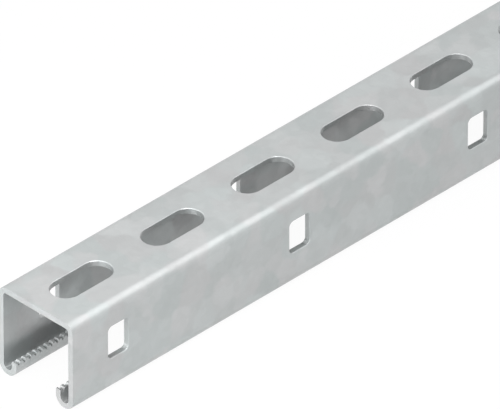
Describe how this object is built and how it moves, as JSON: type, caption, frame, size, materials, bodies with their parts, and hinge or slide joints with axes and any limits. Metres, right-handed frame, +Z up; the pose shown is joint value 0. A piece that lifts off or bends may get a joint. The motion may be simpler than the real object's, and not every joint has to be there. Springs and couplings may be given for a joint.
{
  "type": "strut channel",
  "caption": "Slotted steel strut channel: a square C section with in-turned toothed lips, long slots down its back and upright windows in both side walls.",
  "frame": {"origin": "middle of the length and width, at the lips' lowest line, where the channel rests on a floor", "axes": "+X along the length, +Y across the width towards the left wall, +Z up to the slotted back"},
  "size_m": [0.3, 0.041, 0.041],
  "materials": {
    "zinc": "hot-dip galvanised: pale, softly mottled, semi-matt zinc"
  },
  "bodies": {
    "root": {"strut_channel": "zinc"}
  },
  "joints": []
}
